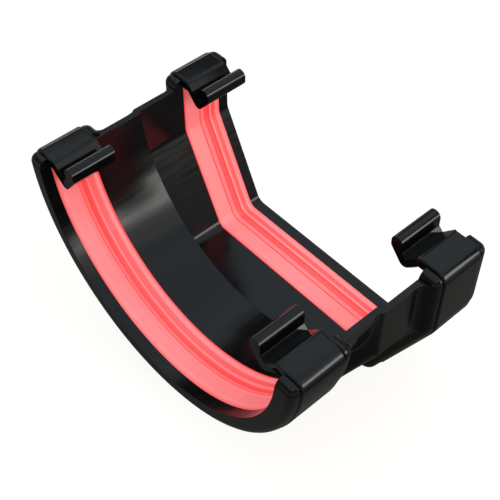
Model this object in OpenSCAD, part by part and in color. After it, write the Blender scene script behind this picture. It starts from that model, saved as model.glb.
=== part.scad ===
// Half-round to square gutter adaptor. One moulded trough carries a ribbed rubber
// seal and two retaining clips at each mouth. X runs across the gutter, Y along it
// and Z up. The half-round mouth faces -Y and the square mouth faces +Y.

/* [Half-round channel] */
// Inside radius of the half-round channel
hr_r = 56.7; // [54:0.1:57.4]

/* [Square channel] */
// Half the inside width between the upright walls
sq_half = 57.6; // [57:0.1:61]
// Depth of the channel floor below the gutter centre line
sq_depth = 62.6; // [60:0.1:66]
// Depth at which the upright walls turn inwards
sq_turn = 25.1; // [20:0.1:30]
// Half the inside width of the floor, out to its sharp corner
sq_floor_half = 39; // [34:0.5:43]
// Inside radius where an upright wall turns inwards
turn_r = 6; // [3:0.5:10]
// Inside radius at a floor corner
floor_r = 4; // [2:0.5:7]

// Outside radius of the neck where an upright wall turns inwards
neck_turn_r = 2; // [2:0.1:6]
// Outside radius of the neck at a floor corner
neck_floor_r = 2.4; // [2:0.1:6]
// Outside radius of the band at a floor corner
band_floor_r = 5.5; // [4:0.5:11]

/* [Body] */
// Wall thickness of the channel between the sockets
wall = 2.1; // [1.8:0.1:2.8]
// Distance of the rims below the gutter centre line
rim_drop = 3.95; // [3:0.05:5]
// Place along Y where the half-round channel meets the square one
step_y = 0.95; // [-3:0.05:3]
// Radius of the fillets round the step between the channels
step_fillet = 1.8; // [1.2:0.1:1.8]
// Distance of the half-round mouth from the middle
hr_mouth = 41.05; // [40.9:0.05:46]
// Distance of the square mouth from the middle
sq_mouth = 41.4; // [40.9:0.05:46]

/* [Socket bands] */
// How far a band's outside stands from the channel's inside face
band_out = 7; // [6:0.1:7.4]
// Radius of the mouths' outer edges, of the flares and of the end caps
edge_r = 3; // [2.6:0.1:3]
// Distance of the end caps' tops below the gutter centre line
cap_drop = 1; // [0.6:0.1:2]
// Flat part of the half-round band between its flare and its clips
hr_land = 0.65; // [0.05:0.05:2]
// Flat part of the square band between its flare and its clips
sq_land = 0.05; // [0.05:0.05:2]

/* [Seals] */
// Distance of the half-round seal's middle from its mouth
hr_seal_in = 12.25; // [11:0.05:14]
// Distance of the square seal's middle from its mouth
sq_seal_in = 12.6; // [11:0.05:14]
// Width of a seal strip
seal_w = 16; // [12:0.5:17]
// Depth of the groove that holds a seal
seal_t = 1.7; // [1.2:0.1:2]
// Height of the seal's ridges over the channel's inside face
seal_ridge = 0.6; // [0.3:0.1:0.8]

/* [Clips] */
// Width of a clip along the gutter
clip_w = 17.4; // [14:0.1:17.6]
// Distance of a half-round clip's middle from its mouth
hr_clip_in = 12.2; // [12:0.05:13]
// Distance of a square clip's middle from its mouth
sq_clip_in = 12.45; // [12.2:0.05:13.4]
// How far a clip's outside stands from the channel's inside face
clip_out = 7.5; // [7.4:0.1:8.4]
// Thickness of a clip's strap
strap_t = 3; // [2.4:0.1:3.2]
// Thickness of the plate over the rim
plate_t = 3.7; // [3:0.1:3.7]
// Outside radius where the plate turns down into the strap
clip_corner_r = 4.2; // [1.5:0.1:4.4]
// Angle below the centre line at which a half-round clip's strap ends
strap_angle = 60; // [35:1:66]
// Length of a square clip's strap along the sloping wall
strap_slope = 37; // [12:0.5:37.5]
// Height of the toe that locks the end of a strap into the body
toe_h = 1.2; // [0.6:0.1:1.3]
// Length of that toe along the strap
toe_l = 2.6; // [1.5:0.1:5]

/* [Clip hook] */
// How far the hook starts inside the channel's inside face
hook_set = 3.6; // [3:0.1:5]
// Distance of the valley between strap and bar from the hook's start
valley_u = 4.6; // [4:0.1:5.2]
// Depth of that valley
valley_z = 5.1; // [4.4:0.1:5.6]
// Radius of the edge from which the hook drops
hook_edge_r = 2; // [0.5:0.1:3]
// Radius of the rounded bar
bar_r = 2.3; // [2:0.1:2.6]
// Distance of the bar's centre from the hook's start
bar_u = 8.6; // [8.2:0.1:9.4]
// Height of the bar's centre over the gutter centre line, half-round clip
hr_bar_z = 0.1; // [-0.6:0.1:1.5]
// Height of the bar's centre over the gutter centre line, square clip
sq_bar_z = -0.4; // [-0.6:0.1:1.5]
// Radius under the hook
heel_r = 2.2; // [1.8:0.1:2.6]

/* [Clearances] */
// Gap at each side of a strap in its channel
strap_side_gap = 0.25; // [0.1:0.05:0.3]
// Gap behind a strap, over a rim and round a toe
strap_back_gap = 0.2; // [0.1:0.05:0.4]
// Gap at each side of a seal in its groove
seal_side_gap = 0.1; // [0.05:0.05:0.3]
// Gap behind a seal in its groove
seal_back_gap = 0.05; // [0.02:0.01:0.1]

/* [Hidden] */

black = "#1d2022";
coral = "#ff7070";

// Extra length by which a cut runs past the face that it opens
past = 1;
// Steps of a small arc, and of the arcs along the strap
arc_n = 6;
long_n = 16;

// The square channel's sloping wall leans this far from upright
lean = atan2(sq_half - sq_floor_half, sq_depth - sq_turn);
turn_c = [sq_half - turn_r, -sq_turn + turn_r * tan(lean / 2)];
floor_c = [sq_floor_half - floor_r * tan((90 - lean) / 2), -sq_depth + floor_r];

neck_r = hr_r + wall;
channel_half = clip_w / 2 + strap_side_gap;
channel_out = clip_out - strap_t - strap_back_gap;
rise = band_out - wall;
flare_run = sqrt(4 * edge_r * rise - rise * rise);
flare_turn = 2 * atan(rise / flare_run);
cap_r = rim_drop - cap_drop;
hr_seal_y = hr_mouth - hr_seal_in;
sq_seal_y = sq_mouth - sq_seal_in;
hr_clip_y = hr_mouth - hr_clip_in;
sq_clip_y = sq_mouth - sq_clip_in;
hr_band = hr_clip_y - channel_half - hr_land;
sq_band = sq_clip_y - channel_half - sq_land;
far_y = max(hr_mouth, sq_mouth);
step_back = step_y - wall;
stand_h = sq_depth + band_out;

// A row of points on an arc in the plane
function arc_pts(c, r, a0, a1, n) =
    [for (i = [0:n]) let (a = a0 + (a1 - a0) * i / n) c + r * [cos(a), sin(a)]];

function reversed(v) = [for (i = [len(v) - 1:-1:0]) v[i]];

// Two equal arcs that carry the outside from one offset to another
function s_curve(y0, d0, y1, d1, n) =
    let (run = y1 - y0, rise = d1 - d0, turn = 2 * atan(rise / run), r = run / (2 * sin(turn)))
    concat([for (i = [0:n]) let (a = turn * i / n) [y0 + r * sin(a), d0 + r * (1 - cos(a))]],
           [for (i = [n - 1:-1:0]) let (a = turn * i / n) [y1 - r * sin(a), d1 - r * (1 - cos(a))]]);

// Outside of a socket from the neck to its mouth, as [distance along Y, offset]
function socket_profile(band, mouth) = concat(
    s_curve(band - flare_run, wall, band, band_out, arc_n),
    reversed(arc_pts([mouth - edge_r, band_out - edge_r], edge_r, 0, 90, arc_n)));

// One side of the square channel's outline, offset outwards by d, with its two corner radii
function sq_corners(d, top, r_turn, r_floor) =
    let (t = [sq_half + d - r_turn, turn_c.y + (r_turn - turn_r - d) * tan(lean / 2)],
         f = [floor_c.x - (r_floor - floor_r - d) * tan((90 - lean) / 2), -sq_depth - d + r_floor])
    concat([[sq_half + d, top]], arc_pts(t, r_turn, 0, -lean, arc_n), arc_pts(f, r_floor, -lean, -90, arc_n));

// Inside faces keep one centre for each corner
function sq_side(d, top) = sq_corners(d, top, turn_r + d, floor_r + d);

// Outside faces go from the neck's tight corners to the band's wide ones
function sq_skin(d, top) =
    let (k = max(0, d - wall) / rise)
    sq_corners(d, top, neck_turn_r + k * (turn_r + band_out - neck_turn_r),
               neck_floor_r + k * (band_floor_r - neck_floor_r));

function both_halves(side) = concat(side, [for (p = reversed(side)) [-p.x, p.y]]);

function sq_ring(d, top) = both_halves(sq_side(d, top));

// The same side down to a length along the sloping wall
function sq_strap(d, top, length) =
    let (turn = arc_pts(turn_c, turn_r + d, 0, -lean, arc_n))
    concat([[sq_half + d, top]], turn, [turn[arc_n] - length * [sin(lean), cos(lean)]]);

function hr_strap(d, a0, a1) = arc_pts([0, 0], hr_r + d, a0, a1, long_n);

// A solid through outlines of equal length, each flat and in its own plane
module loft(rings) {
    n = len(rings[0]);
    m = len(rings);
    polyhedron(
        points = [for (ring = rings) each ring],
        faces = concat(
            [[for (i = [0:n - 1]) i]],
            [[for (i = [n - 1:-1:0]) (m - 1) * n + i]],
            [for (k = [0:m - 2], i = [0:n - 1])
                let (a = k * n + i, b = k * n + (i + 1) % n)
                each [[a, b + n, b], [a, a + n, b + n]]]));
}

// The square outline carried along Y, each station given as [y, offset]
module sq_loft(stations, top) {
    loft([for (s = stations) [for (p = sq_ring(s[1], top)) [p.x, s[0], p.y]]]);
}

module sq_skin_loft(stations) {
    loft([for (s = stations) [for (p = both_halves(sq_skin(s[1], -rim_drop))) [p.x, s[0], p.y]]]);
}

// A profile of [radius, distance towards the half-round mouth] turned about Y
module hr_revolve(profile) {
    rotate([90, 0, 0]) rotate_extrude($fn = 128) polygon(profile);
}

// An outline in the XZ plane carried along Y from y0 to y1
module prism(outline, y0, y1) {
    translate([0, y1, 0]) rotate([90, 0, 0]) linear_extrude(y1 - y0) polygon(outline);
}

module both_sides() {
    children();
    mirror([1, 0, 0]) children();
}

// Stands the part on the ground plane with its two mouths equally far from the middle
module seated() {
    translate([0, (hr_mouth - sq_mouth) / 2, stand_h]) children();
}

module hr_outside() {
    hr_revolve(concat([[0, -past / 2], [neck_r, -past / 2]],
                      [for (s = socket_profile(hr_band, hr_mouth)) [hr_r + s[1], s[0]]],
                      [[0, hr_mouth]]));
}

module sq_outside() {
    sq_skin_loft(concat(
        arc_pts([step_back + step_fillet, wall - step_fillet], step_fillet, 180, 90, arc_n),
        socket_profile(sq_band, sq_mouth)));
}

// Fillet between the half-round neck and the wall that closes the step
module step_flare() {
    near = neck_r - sq_half;
    gain = wall - near;
    run = sqrt(4 * step_fillet * gain - gain * gain);
    end = step_back + step_fillet;
    arc = arc_pts([neck_r + step_fillet, step_fillet - step_back], step_fillet, 180, 270, arc_n);
    intersection() {
        hr_revolve(concat(arc, [[neck_r + step_fillet, -end + 0.5], [hr_r + wall / 2, -end + 0.5],
                                [hr_r + wall / 2, step_fillet - step_back]]));
        sq_skin_loft(concat([[end - run - 2 * step_fillet, near]], s_curve(end - run, near, end, wall, arc_n)));
    }
}

// Rounded end block that rises from the rim beside a clip
module end_cap(x_in, x_out, y_near, y_far, sweep) {
    way = sign(y_far - y_near);
    c = [x_out - edge_r, y_far - way * edge_r];
    function ring(a) =
        let (r = edge_r - cap_r * (1 - cos(a)), z = -rim_drop + cap_r * sin(a))
        concat([[x_in, y_near, z], [c.x + r, y_near, z]],
               [for (i = [0:arc_n]) let (b = sweep * i / arc_n) [c.x + r * cos(b), c.y + way * r * sin(b), z]],
               [[x_in, c.y + way * r * sin(sweep), z]]);
    rings = [for (i = [0:arc_n]) ring(84 * i / arc_n)];
    loft(way < 0 ? [for (r = rings) reversed(r)] : rings);
}

module end_caps() {
    hr_cap_x = sqrt(pow(hr_r + band_out, 2) - rim_drop * rim_drop);
    sq_cap_x = sq_half + band_out;
    both_sides() {
        end_cap(hr_r, hr_cap_x, channel_half - hr_clip_y, edge_r - hr_band, flare_turn);
        end_cap(hr_r, hr_cap_x, -channel_half - hr_clip_y, -hr_mouth, 90);
        end_cap(sq_half, sq_cap_x, sq_clip_y - channel_half, sq_band - edge_r, flare_turn);
        end_cap(sq_half, sq_cap_x, sq_clip_y + channel_half, sq_mouth, 90);
    }
}

// Room for the strap of a clip in the outside of each band, with its toe's slot
module hr_strap_channel() {
    outer = band_out + past;
    gap = strap_back_gap / hr_r * 180 / PI;
    toe = toe_l / hr_r * 180 / PI;
    y0 = -hr_clip_y - channel_half;
    y1 = -hr_clip_y + channel_half;
    prism(concat(hr_strap(outer, 10, -strap_angle - gap), reversed(hr_strap(channel_out, 10, -strap_angle - gap))),
          y0, y1);
    prism(concat(hr_strap(outer, toe - strap_angle + gap, -strap_angle - gap),
                 reversed(hr_strap(channel_out - toe_h, toe - strap_angle + gap, -strap_angle - gap))),
          y0, y1);
}

module sq_strap_channel() {
    outer = band_out + past;
    end = strap_slope + strap_back_gap;
    y0 = sq_clip_y - channel_half;
    y1 = sq_clip_y + channel_half;
    prism(concat(sq_strap(outer, past, end), reversed(sq_strap(channel_out, past, end))), y0, y1);
    prism(sq_toe(outer, channel_out - toe_h, strap_slope - toe_l - strap_back_gap, end), y0, y1);
}

// Outline of a square clip's toe between two offsets and two lengths down the slope
function sq_toe(d_out, d_in, l0, l1) =
    let (s = [sin(lean), cos(lean)], n = [cos(lean), -sin(lean)], o = turn_c + turn_r * n)
    [o + d_out * n - l0 * s, o + d_out * n - l1 * s, o + d_in * n - l1 * s, o + d_in * n - l0 * s];

module inside() {
    above = 2 * rim_drop;
    groove = seal_w / 2 + seal_side_gap;
    // Half-round channel, with the groove of its seal
    intersection() {
        hr_revolve([[0, -step_y], [hr_r, -step_y], [hr_r, hr_mouth + past], [0, hr_mouth + past]]);
        translate([-2 * hr_r, -2 * far_y, -2 * hr_r]) cube([4 * hr_r, 4 * far_y, 2 * hr_r + above]);
    }
    hr_revolve([[hr_r - past, hr_seal_y - groove], [hr_r + seal_t, hr_seal_y - groove],
                [hr_r + seal_t, hr_seal_y + groove], [hr_r - past, hr_seal_y + groove]]);
    // Square channel, with the groove of its seal
    prism(sq_ring(0, above), step_y, sq_mouth + past);
    prism(sq_ring(seal_t, above), sq_seal_y - groove, sq_seal_y + groove);
}

module body() {
    color(black) seated() {
        difference() {
            union() {
                hr_outside();
                sq_outside();
                step_flare();
            }
            inside();
            both_sides() {
                hr_strap_channel();
                sq_strap_channel();
            }
            translate([-2 * hr_r, -2 * far_y, -rim_drop]) cube([4 * hr_r, 4 * far_y, 2 * hr_r]);
        }
        end_caps();
    }
}

// The seal's inner face across its width, as [distance from the -Y edge, height
// over the channel's inside face]: edge bead, broad band, ridges, channel, edge strip
seal_face = [
    [0, 0], [0.3, 0.3 * seal_ridge], [1.9, 0.4 * seal_ridge], [2.2, 0.1 * seal_ridge],
    [6.4, 0.1 * seal_ridge], [6.7, -0.3 * seal_ridge], [7.1, 0.5 * seal_ridge], [7.6, 0.7 * seal_ridge],
    [8.1, -0.8 * seal_ridge], [8.5, 0.1 * seal_ridge], [8.8, 0.1 * seal_ridge], [9.2, -1.1 * seal_ridge],
    [10.5, -0.6 * seal_ridge], [11.1, 0.6 * seal_ridge], [11.5, 0.6 * seal_ridge], [11.9, 0.1 * seal_ridge],
    [13.6, 0.1 * seal_ridge], [14.1, 0.8 * seal_ridge], [14.7, 0.8 * seal_ridge], [15, 0.6 * seal_ridge],
    [15.8, seal_ridge], [16, 0.7 * seal_ridge]];

// The same face as [y, offset] on a socket whose seal starts at y0
function seal_stations(y0) = [for (s = seal_face) [y0 + s[0] * seal_w / 16, -s[1]]];

module seal_top_cut() {
    top = -rim_drop - strap_back_gap;
    translate([-2 * hr_r, -2 * far_y, top]) cube([4 * hr_r, 4 * far_y, 2 * hr_r]);
}

module half_round_seal() {
    y0 = -hr_seal_y - seal_w / 2;
    back = hr_r + seal_t - seal_back_gap;
    color(coral) seated() difference() {
        hr_revolve(concat([for (s = seal_stations(y0)) [hr_r + s[1], -s[0]]],
                          [[back, -y0 - seal_w], [back, -y0]]));
        seal_top_cut();
    }
}

module square_seal() {
    y0 = sq_seal_y - seal_w / 2;
    above = 2 * rim_drop;
    stations = seal_stations(y0);
    color(coral) seated() difference() {
        prism(sq_ring(seal_t - seal_back_gap, 0), y0, y0 + seal_w);
        sq_loft(concat([[y0 - past, stations[0][1]]], stations,
                       [[y0 + seal_w + past, stations[len(stations) - 1][1]]]), above);
        seal_top_cut();
    }
}

// The hook inside the rim, from the plate's inner edge round the bar and back to
// the plate's underside, as [distance inwards, height]
function hook(bar_z) =
    let (slope = atan2(valley_z, valley_u), reach = hook_edge_r * tan(slope / 2))
    concat(
        arc_pts([-reach, -hook_edge_r], hook_edge_r, 90, 90 - slope, 4),
        [[valley_u, -valley_z], [bar_u - bar_r, -valley_z + 1.7]],
        arc_pts([bar_u, bar_z], bar_r, 180, 0, 2 * arc_n),
        arc_pts([bar_u - 0.1, bar_z - 1.4], bar_r + 0.1, -8, -36, 2),
        arc_pts([valley_u + 0.4, -valley_z - 1], heel_r, -36, -138, arc_n),
        [[0.2, -plate_t - 1.3], [-0.5, -plate_t - 0.5], [-1.4, -plate_t]]);

// Clip outline: up the outside, over the corner, round the hook and down the inside
function clip_outline(outside, inside, x_corner, x_hook, bar_z) =
    concat(reversed(outside),
           arc_pts([x_corner - clip_corner_r, -clip_corner_r], clip_corner_r, 0, 90, arc_n),
           [for (h = hook(bar_z)) [x_hook - h.x, h.y]],
           inside);

module half_round_clip() {
    ro = hr_r + clip_out;
    d_in = clip_out - strap_t;
    ri = hr_r + d_in;
    toe = toe_l / hr_r * 180 / PI;
    outside = hr_strap(clip_out, -asin(clip_corner_r / ro), -strap_angle);
    inside = concat(hr_strap(d_in, -asin(plate_t / ri), toe - strap_angle),
                    arc_pts([0, 0], ri - toe_h, toe - strap_angle, -strap_angle, 2));
    corner = sqrt(ro * ro - clip_corner_r * clip_corner_r);
    prism(clip_outline(outside, inside, corner, hr_r - hook_set, hr_bar_z),
          -hr_clip_y - clip_w / 2, -hr_clip_y + clip_w / 2);
}

module square_clip() {
    d_in = clip_out - strap_t;
    toe = sq_toe(d_in, d_in - toe_h, strap_slope - toe_l, strap_slope);
    outside = sq_strap(clip_out, -clip_corner_r, strap_slope);
    inside = concat(sq_strap(d_in, -plate_t, strap_slope - toe_l), [toe[3], toe[2]]);
    prism(clip_outline(outside, inside, sq_half + clip_out, sq_half - hook_set, sq_bar_z),
          sq_clip_y - clip_w / 2, sq_clip_y + clip_w / 2);
}

module half_round_clip_right() { color(black) seated() half_round_clip(); }
module half_round_clip_left() { color(black) seated() mirror([1, 0, 0]) half_round_clip(); }
module square_clip_right() { color(black) seated() square_clip(); }
module square_clip_left() { color(black) seated() mirror([1, 0, 0]) square_clip(); }

body();
half_round_seal();
square_seal();
half_round_clip_left();
half_round_clip_right();
square_clip_left();
square_clip_right();
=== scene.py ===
from math import radians

import bmesh
import bpy
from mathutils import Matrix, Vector


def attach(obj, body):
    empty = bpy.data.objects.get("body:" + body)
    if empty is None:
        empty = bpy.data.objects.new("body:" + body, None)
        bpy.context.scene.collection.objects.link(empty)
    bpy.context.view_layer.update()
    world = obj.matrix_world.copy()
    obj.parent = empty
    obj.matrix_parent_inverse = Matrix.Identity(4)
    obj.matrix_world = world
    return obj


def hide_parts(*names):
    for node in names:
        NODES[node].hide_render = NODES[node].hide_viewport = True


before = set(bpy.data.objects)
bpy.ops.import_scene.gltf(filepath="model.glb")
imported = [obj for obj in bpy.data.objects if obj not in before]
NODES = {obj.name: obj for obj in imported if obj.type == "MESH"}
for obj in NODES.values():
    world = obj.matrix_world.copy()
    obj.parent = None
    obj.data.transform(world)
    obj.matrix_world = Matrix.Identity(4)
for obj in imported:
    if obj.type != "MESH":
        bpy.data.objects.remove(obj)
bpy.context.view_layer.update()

MM = 0.001
WHITE = (1, 1, 1, 1)

# Height of the gutter's centre line and inner side of the clips' plates, in millimetres
CENTRE_Z = 69.6
PLATE_INNER_X = 54.0

# Where the seals start along Y and how wide they are, in millimetres
ROUND_SEAL_START, SQUARE_SEAL_START = -36.975, 20.625
SEAL_WIDTH = 16.0

# Points closer than this are merged, in millimetres
WELD_DISTANCE = 0.002
# Faces that turn less than this are joined, on the body and elsewhere, in degrees
BODY_FLAT_ANGLE, FLAT_ANGLE = 0.02, 0.3
# Edges that turn more than this stay crisp, in degrees
CRISP_ANGLE = 32

# Rounding of the clips' outer side edges, in millimetres
CLIP_ROUNDING, ROUNDING_STEPS = 0.9, 3

# Least share of a normal along Y on a clip's ends, and most on its swept faces
END_FACE, SWEPT_FACE = 0.99, 0.01
# Least share of a swept face's normal upwards on the plate, and outwards on the strap
TOP_FACE, OUTER_FACE = 0.9, 0.3

# The marks are drawn out along Y, and the short grain has this share of their height
MARK_STRETCH = (1.0, 0.08, 1.0)
GRAIN_SHARE = 0.25
# The part of the wave noise that is spread from the lowest to the highest roughness
WAVE_RANGE = (0.3, 0.7)

BLACK_DEEP, BLACK_PALE = (0.0022, 0.0023, 0.0024, 1), (0.0040, 0.0041, 0.0042, 1)
# The rubber's colour in painted shade in its channels, and with painted highlight on its
# ridges
CORAL_SHADED, CORAL_LIT = (1.0, 0.05, 0.05, 1), (1.0, 0.26, 0.26, 1)
# A painted glow: the rubber gives off its colour as light, standing in for the light that
# scatters inside it
CORAL_PAINTED_GLOW = 0.3
# Least and most brightness of the rubber's soft clouds
CLOUD_RANGE = (0.93, 1.05)

# Painted shade across a strip of rubber, darker in the channels and grooves and paler as
# painted highlights on the ridges, as (place in millimetres, paleness)
ROUND_SEAL_PAINTED_SHADE = [
    (0.0, 0.3), (0.5, 0.6), (1.4, 0.95), (2.1, 0.95), (2.5, 0.8),
    (5.8, 0.8), (6.4, 0.65), (6.75, 1.0), (7.2, 1.0), (7.35, 0.1),
    (7.7, 0.1), (7.85, 1.0), (8.25, 0.8), (8.7, 0.45), (9.0, 0.03),
    (10.1, 0.12), (10.6, 0.25), (10.85, 1.0), (11.25, 1.0), (11.5, 0.3),
    (13.4, 0.27), (13.8, 1.0), (14.6, 1.0), (15.2, 0.8), (15.6, 0.1)]
SQUARE_SEAL_PAINTED_SHADE = [
    (0.0, 0.0), (0.5, 0.8), (1.0, 0.7), (1.6, 0.9), (2.1, 0.9),
    (2.4, 0.8), (6.4, 0.8), (6.85, 0.9), (6.95, 0.2), (7.15, 0.2),
    (7.3, 1.0), (8.6, 0.9), (9.1, 0.5), (9.4, 0.04), (10.2, 0.25),
    (10.8, 0.3), (11.25, 0.2), (11.45, 1.0), (12.1, 0.95), (12.4, 0.2),
    (13.7, 0.2), (13.9, 0.95), (14.8, 0.9), (15.3, 0.75), (15.8, 0.6)]

# How far the floor reaches from the part, in metres, and its own two tones
FLOOR_REACH = 6.0
FLOOR_TONES = (0.17, 0.153, 0.136, 1), (0.187, 0.17, 0.153, 1)
# What is added to them where the camera looks, and its colour
FLOOR_LIFT, FLOOR_LIFT_COLOUR = 0.89, (1.0, 0.99, 0.975, 1)
# In mirrors the lift fades in between these distances from the part, in metres
FLOOR_FADE = (0.2, 0.6)

# Colour of the surroundings from straight down at 0, over the horizon at 0.5, to the top
SKY = [
    (0.5, (0.26, 0.24, 0.22)), (0.67, (0.4, 0.39, 0.38)), (0.815, (0.2, 0.2, 0.21)),
    (0.835, (1.0, 1.1, 1.16)), (0.9, (1.24, 1.48, 1.62)), (1.0, (1.05, 1.17, 1.25))]

# The lamps as (name, place, size, watts, colour), all turned to the middle of the part
LAMP_TARGET = (0, 0, 0.04)
LAMPS = [
    ("right_strip", (0.75, 0.399, 0.30), (0.3, 0.32), 2.8, (1.0, 1.0, 0.95)),
    ("right_panel", (0.639, 0.298, 0.515), (0.36, 0.26), 0.5, (1.0, 1.0, 1.0)),
    ("front_window", (0.52, -0.36, 0.68), (0.14, 0.14), 0.4, (0.75, 0.86, 1.0)),
    ("left_strip", (-0.8, 0.36, 0.34), (0.4, 0.12), 0.6, (1.0, 1.0, 1.0))]

# The camera's place in metres, its angles in degrees, and its lens in millimetres
CAMERA_PLACE = (0.16869, -0.151455, 0.30620)
CAMERA_TILT, CAMERA_TURN = 49.34, 47.94
CAMERA_LENS, SENSOR_WIDTH = 74.37, 36.0

# Sockets of a Mix node between colours
FACTOR, FIRST, SECOND, RESULT = 0, 6, 7, 2


def link_all(tree, pairs):
    """Join each output socket to the input socket it is paired with."""
    for source, target in pairs:
        tree.links.new(source, target)


def range_node(nodes, source=(0.0, 1.0), result=(0.0, 1.0)):
    """A Map Range node that takes the source range to the result range."""
    node = nodes.new("ShaderNodeMapRange")
    labels = "From Min", "From Max", "To Min", "To Max"
    for label, value in zip(labels, (*source, *result)):
        node.inputs[label].default_value = value
    return node


def colour_mix(nodes, first, second):
    """A Mix node between two colours."""
    node = nodes.new("ShaderNodeMix")
    node.data_type = "RGBA"
    node.inputs[FIRST].default_value = first
    node.inputs[SECOND].default_value = second
    return node


def bump_node(nodes, strength, height):
    """A Bump node for marks of this height, in millimetres."""
    node = nodes.new("ShaderNodeBump")
    node.inputs["Strength"].default_value = strength
    node.inputs["Distance"].default_value = height * MM
    return node


def ramp_node(nodes, stops):
    """A Color Ramp node with these (place, colour) stops."""
    node = nodes.new("ShaderNodeValToRGB")
    elements = node.color_ramp.elements
    while len(elements) < len(stops):
        elements.new(0.5)
    for element, (place, colour) in zip(elements, stops):
        element.position = place
        element.color = (*colour, 1)
    return node


def effect_group(name, inputs, outputs):
    """An empty shader node group with its named inputs and outputs."""
    group = bpy.data.node_groups.new(name, "ShaderNodeTree")
    for label, kind, value in inputs:
        socket = group.interface.new_socket(label, in_out="INPUT", socket_type=kind)
        if value is not None:
            socket.default_value = value
    for label, kind in outputs:
        group.interface.new_socket(label, in_out="OUTPUT", socket_type=kind)
    return group, group.nodes.new("NodeGroupInput"), group.nodes.new("NodeGroupOutput")


def make_moulding_marks():
    """Long soft waves and short grain that run along Y, as the tool leaves them."""
    group, start, end = effect_group(
        "moulding_marks",
        [("Vector", "NodeSocketVector", None),
         ("Wave Size", "NodeSocketFloat", 300.0),
         ("Grain Size", "NodeSocketFloat", 1500.0),
         ("Low", "NodeSocketFloat", 0.1),
         ("High", "NodeSocketFloat", 0.2)],
        [("Height", "NodeSocketFloat"),
         ("Roughness", "NodeSocketFloat"),
         ("Mask", "NodeSocketFloat")])
    n = group.nodes
    stretch = n.new("ShaderNodeVectorMath")
    stretch.operation = "MULTIPLY"
    stretch.inputs[1].default_value = MARK_STRETCH
    wave, grain = n.new("ShaderNodeTexNoise"), n.new("ShaderNodeTexNoise")
    wave.inputs["Detail"].default_value = 3.0
    grain.inputs["Detail"].default_value = 1.0
    height = n.new("ShaderNodeMix")
    height.inputs["Factor"].default_value = GRAIN_SHARE
    spread = range_node(n, WAVE_RANGE)
    link_all(group, [
        (start.outputs["Vector"], stretch.inputs[0]),
        (stretch.outputs[0], wave.inputs["Vector"]),
        (start.outputs["Wave Size"], wave.inputs["Scale"]),
        (stretch.outputs[0], grain.inputs["Vector"]),
        (start.outputs["Grain Size"], grain.inputs["Scale"]),
        (wave.outputs["Fac"], height.inputs["A"]),
        (grain.outputs["Fac"], height.inputs["B"]),
        (height.outputs["Result"], end.inputs["Height"]),
        (wave.outputs["Fac"], spread.inputs["Value"]),
        (start.outputs["Low"], spread.inputs["To Min"]),
        (start.outputs["High"], spread.inputs["To Max"]),
        (spread.outputs[0], end.inputs["Roughness"]),
        (wave.outputs["Fac"], end.inputs["Mask"])])
    return group


def material_with_shader(name):
    """A new material that holds one Principled shader."""
    mat = bpy.data.materials.new(name)
    mat.use_nodes = True
    tree = mat.node_tree
    tree.nodes.clear()
    out = tree.nodes.new("ShaderNodeOutputMaterial")
    shader = tree.nodes.new("ShaderNodeBsdfPrincipled")
    tree.links.new(shader.outputs[0], out.inputs[0])
    return mat, tree, shader


def place_marks(tree, wave, grain, low, high):
    """The moulding marks on Object coordinates, with this material's own values."""
    where = tree.nodes.new("ShaderNodeTexCoord")
    marks = tree.nodes.new("ShaderNodeGroup")
    marks.node_tree = MOULDING_MARKS
    tree.links.new(where.outputs["Object"], marks.inputs["Vector"])
    for label, value in (("Wave Size", wave), ("Grain Size", grain),
                         ("Low", low), ("High", high)):
        marks.inputs[label].default_value = value
    return where, marks


def make_black_plastic(name, wave, height, edge, low, high):
    """Glossy black moulded plastic with soft lengthwise waves and softened edges."""
    mat, tree, shader = material_with_shader(name)
    n = tree.nodes
    shader.inputs["Specular IOR Level"].default_value = 0.2
    _, marks = place_marks(tree, wave, wave * 6, low, high)
    tint = colour_mix(n, BLACK_DEEP, BLACK_PALE)
    bump = bump_node(n, 0.5, height)
    rounding = n.new("ShaderNodeBevel")
    rounding.samples = 6
    rounding.inputs["Radius"].default_value = edge * MM
    link_all(tree, [
        (marks.outputs["Mask"], tint.inputs[FACTOR]),
        (tint.outputs[RESULT], shader.inputs["Base Color"]),
        (marks.outputs["Roughness"], shader.inputs["Roughness"]),
        (marks.outputs["Height"], bump.inputs["Height"]),
        (rounding.outputs[0], bump.inputs["Normal"]),
        (bump.outputs[0], shader.inputs["Normal"])])
    return mat


def make_coral_rubber(name, start_y, painted_bands):
    """Coral rubber with painted shade: darker in the channels between the ribs, paler as
    painted highlights on the ridges and flats.
    """
    mat, tree, shader = material_with_shader(name)
    n = tree.nodes
    shader.inputs["Emission Strength"].default_value = CORAL_PAINTED_GLOW
    shader.inputs["Specular IOR Level"].default_value = 0.4
    where, marks = place_marks(tree, wave=500.0, grain=6000.0, low=0.36, high=0.5)
    split = n.new("ShaderNodeSeparateXYZ")
    across = range_node(n, (start_y * MM, (start_y + SEAL_WIDTH) * MM))
    # Painted shade in the channels and painted highlights on the ridges, by place across
    # the strip
    ramp = ramp_node(n, [(place / SEAL_WIDTH, (pale, pale, pale)) for place, pale in painted_bands])
    painted_rib_shade = colour_mix(n, CORAL_SHADED, CORAL_LIT)
    cloud = range_node(n, result=CLOUD_RANGE)
    shade = n.new("ShaderNodeVectorMath")
    shade.operation = "SCALE"
    bump = bump_node(n, 0.3, 0.06)
    link_all(tree, [
        (where.outputs["Object"], split.inputs[0]),
        (split.outputs["Y"], across.inputs["Value"]),
        (across.outputs[0], ramp.inputs[0]),
        (ramp.outputs[0], painted_rib_shade.inputs[FACTOR]),
        (painted_rib_shade.outputs[RESULT], shade.inputs[0]),
        (marks.outputs["Mask"], cloud.inputs["Value"]),
        (cloud.outputs[0], shade.inputs["Scale"]),
        (shade.outputs[0], shader.inputs["Base Color"]),
        # The rubber gives off its banded colour as a painted glow
        (shade.outputs[0], shader.inputs["Emission Color"]),
        (marks.outputs["Roughness"], shader.inputs["Roughness"]),
        (marks.outputs["Height"], bump.inputs["Height"]),
        (bump.outputs[0], shader.inputs["Normal"])])
    return mat


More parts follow.
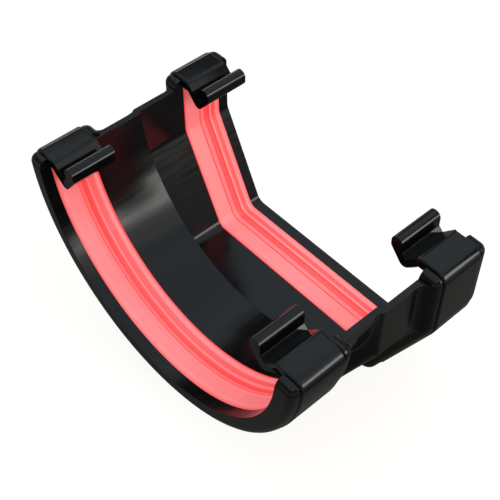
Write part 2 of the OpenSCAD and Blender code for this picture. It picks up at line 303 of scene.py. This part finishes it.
def make_floor_paint():
    """Matt floor, lifted to white for the camera and for mirrors far from the part."""
    mat, tree, shader = material_with_shader("floor_paint")
    n = tree.nodes
    shader.inputs["Roughness"].default_value = 1.0
    shader.inputs["Specular IOR Level"].default_value = 0.0
    shader.inputs["Emission Color"].default_value = FLOOR_LIFT_COLOUR
    where = n.new("ShaderNodeTexCoord")
    mottle = n.new("ShaderNodeTexNoise")
    mottle.inputs["Scale"].default_value = 3.0
    tone = colour_mix(n, *FLOOR_TONES)
    distance = n.new("ShaderNodeVectorMath")
    distance.operation = "LENGTH"
    away = range_node(n, FLOOR_FADE)
    seen = n.new("ShaderNodeLightPath")
    mirrors, far, sight, lift = (n.new("ShaderNodeMath") for _ in range(4))
    mirrors.operation = sight.operation = "ADD"
    far.operation = lift.operation = "MULTIPLY"
    lift.use_clamp = True
    lift.inputs[1].default_value = FLOOR_LIFT
    link_all(tree, [
        (where.outputs["Object"], mottle.inputs["Vector"]),
        (mottle.outputs["Fac"], tone.inputs[FACTOR]),
        (tone.outputs[RESULT], shader.inputs["Base Color"]),
        (where.outputs["Object"], distance.inputs[0]),
        (distance.outputs["Value"], away.inputs["Value"]),
        (seen.outputs["Is Glossy Ray"], mirrors.inputs[0]),
        (seen.outputs["Is Transmission Ray"], mirrors.inputs[1]),
        (mirrors.outputs[0], far.inputs[0]),
        (away.outputs[0], far.inputs[1]),
        (seen.outputs["Is Camera Ray"], sight.inputs[0]),
        (far.outputs[0], sight.inputs[1]),
        (sight.outputs[0], lift.inputs[0]),
        (lift.outputs[0], shader.inputs["Emission Strength"])])
    return mat


def welded(node, flat=FLAT_ANGLE):
    """A node's mesh with its doubles merged and its flat faces joined."""
    bm = bmesh.new()
    bm.from_mesh(NODES[node].data)
    bmesh.ops.remove_doubles(bm, verts=bm.verts, dist=WELD_DISTANCE * MM)
    bmesh.ops.dissolve_limit(bm, angle_limit=radians(flat), verts=bm.verts, edges=bm.edges)
    return bm


def finish_piece(node, bm, material, width=0.0):
    """Shade a piece smooth between crisp edges, and round the edges that carry a weight."""
    weight = bm.edges.layers.float.get("bevel_weight_edge")
    for face in bm.faces:
        face.smooth = True
    for edge in bm.edges:
        rounded = weight is not None and edge[weight] > 0
        crisp = edge.is_manifold and edge.calc_face_angle(0) > radians(CRISP_ANGLE)
        edge.smooth = rounded or not crisp
    mesh = bpy.data.meshes.new(node + "_piece")
    bm.to_mesh(mesh)
    bm.free()
    mesh.materials.append(material)
    piece = bpy.data.objects.new(node + "_piece", mesh)
    bpy.context.scene.collection.objects.link(piece)
    if width:
        rounding = piece.modifiers.new("rounding", "BEVEL")
        rounding.limit_method = "WEIGHT"
        rounding.width = width * MM
        rounding.segments = ROUNDING_STEPS
        rounding.profile = 0.5
        rounding.use_clamp_overlap = False
    weigh = piece.modifiers.new("weigh", "WEIGHTED_NORMAL")
    weigh.keep_sharp = True
    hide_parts(node)
    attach(piece, "root")


def weigh_plate_edges(bm):
    """Full weight on the side edges of a clip's plate top and its strap's outside."""
    weight = bm.edges.layers.float.new("bevel_weight_edge")
    for edge in bm.edges:
        ends = [f for f in edge.link_faces if abs(f.normal.y) > END_FACE]
        swept = [f for f in edge.link_faces if abs(f.normal.y) < SWEPT_FACE]
        middle = (edge.verts[0].co + edge.verts[1].co) / 2 / MM
        if ends and swept and abs(middle.x) > PLATE_INNER_X:
            normal = swept[0].normal
            outward = Vector((middle.x, 0, middle.z - CENTRE_Z)).normalized()
            if normal.z > TOP_FACE or normal.dot(outward) > OUTER_FACE:
                edge[weight] = 1.0


def make_clip(node):
    """A clip with its outer side edges rounded."""
    bm = welded(node)
    weigh_plate_edges(bm)
    finish_piece(node, bm, CLIP_PLASTIC, CLIP_ROUNDING)


def make_seal(node, start_y, painted_bands):
    """A ribbed strip in coral rubber with painted shade and painted highlights in bands
    across it.
    """
    rubber = make_coral_rubber(node + "_rubber", start_y, painted_bands)
    finish_piece(node, welded(node), rubber)


def make_lamp(name, place, size, watts, colour):
    """A rectangular lamp that is turned to the middle of the part."""
    data = bpy.data.lights.new(name, "AREA")
    data.shape = "RECTANGLE"
    data.size, data.size_y = size
    data.energy = watts
    data.color = colour
    lamp = bpy.data.objects.new(name, data)
    lamp.location = place
    aim = Vector(LAMP_TARGET) - Vector(place)
    lamp.rotation_euler = aim.to_track_quat("-Z", "Y").to_euler()
    bpy.context.scene.collection.objects.link(lamp)


def make_floor():
    """A wide flat floor under the part."""
    bm = bmesh.new()
    bmesh.ops.create_grid(bm, x_segments=1, y_segments=1, size=FLOOR_REACH)
    mesh = bpy.data.meshes.new("floor")
    bm.to_mesh(mesh)
    bm.free()
    mesh.materials.append(make_floor_paint())
    floor = bpy.data.objects.new("floor", mesh)
    bpy.context.scene.collection.objects.link(floor)


def make_world():
    """Soft studio surroundings: a bright ceiling over darker walls, white to the camera."""
    world = bpy.data.worlds.new("studio")
    bpy.context.scene.world = world
    world.use_nodes = True
    n = world.node_tree.nodes
    where = n.new("ShaderNodeTexCoord")
    split = n.new("ShaderNodeSeparateXYZ")
    rise = range_node(n, (-1.0, 1.0))
    ramp = ramp_node(n, SKY)
    seen = n.new("ShaderNodeLightPath")
    backdrop = colour_mix(n, WHITE, WHITE)
    link_all(world.node_tree, [
        (where.outputs["Generated"], split.inputs[0]),
        (split.outputs["Z"], rise.inputs["Value"]),
        (rise.outputs[0], ramp.inputs[0]),
        (ramp.outputs[0], backdrop.inputs[FIRST]),
        (seen.outputs["Is Camera Ray"], backdrop.inputs[FACTOR]),
        (backdrop.outputs[RESULT], n["Background"].inputs[0])])


def make_camera():
    """The photograph's view of the part."""
    data = bpy.data.cameras.new("camera")
    data.sensor_width = SENSOR_WIDTH
    data.lens = CAMERA_LENS
    camera = bpy.data.objects.new("camera", data)
    camera.location = CAMERA_PLACE
    camera.rotation_euler = (radians(90 - CAMERA_TILT), 0, radians(CAMERA_TURN))
    bpy.context.scene.collection.objects.link(camera)
    bpy.context.scene.camera = camera


MOULDING_MARKS = make_moulding_marks()
BODY_PLASTIC = make_black_plastic(
    "body_plastic", wave=800.0, height=0.025, edge=0.25, low=0.13, high=0.21)
CLIP_PLASTIC = make_black_plastic(
    "clip_plastic", wave=400.0, height=0.003, edge=0.2, low=0.07, high=0.13)

finish_piece("body", welded("body", BODY_FLAT_ANGLE), BODY_PLASTIC)
for node in ("half_round_clip_left", "half_round_clip_right",
             "square_clip_left", "square_clip_right"):
    make_clip(node)
make_seal("half_round_seal", ROUND_SEAL_START, ROUND_SEAL_PAINTED_SHADE)
make_seal("square_seal", SQUARE_SEAL_START, SQUARE_SEAL_PAINTED_SHADE)

make_floor()
make_world()
for lamp in LAMPS:
    make_lamp(*lamp)
make_camera()

bpy.context.scene.view_settings.view_transform = "Standard"
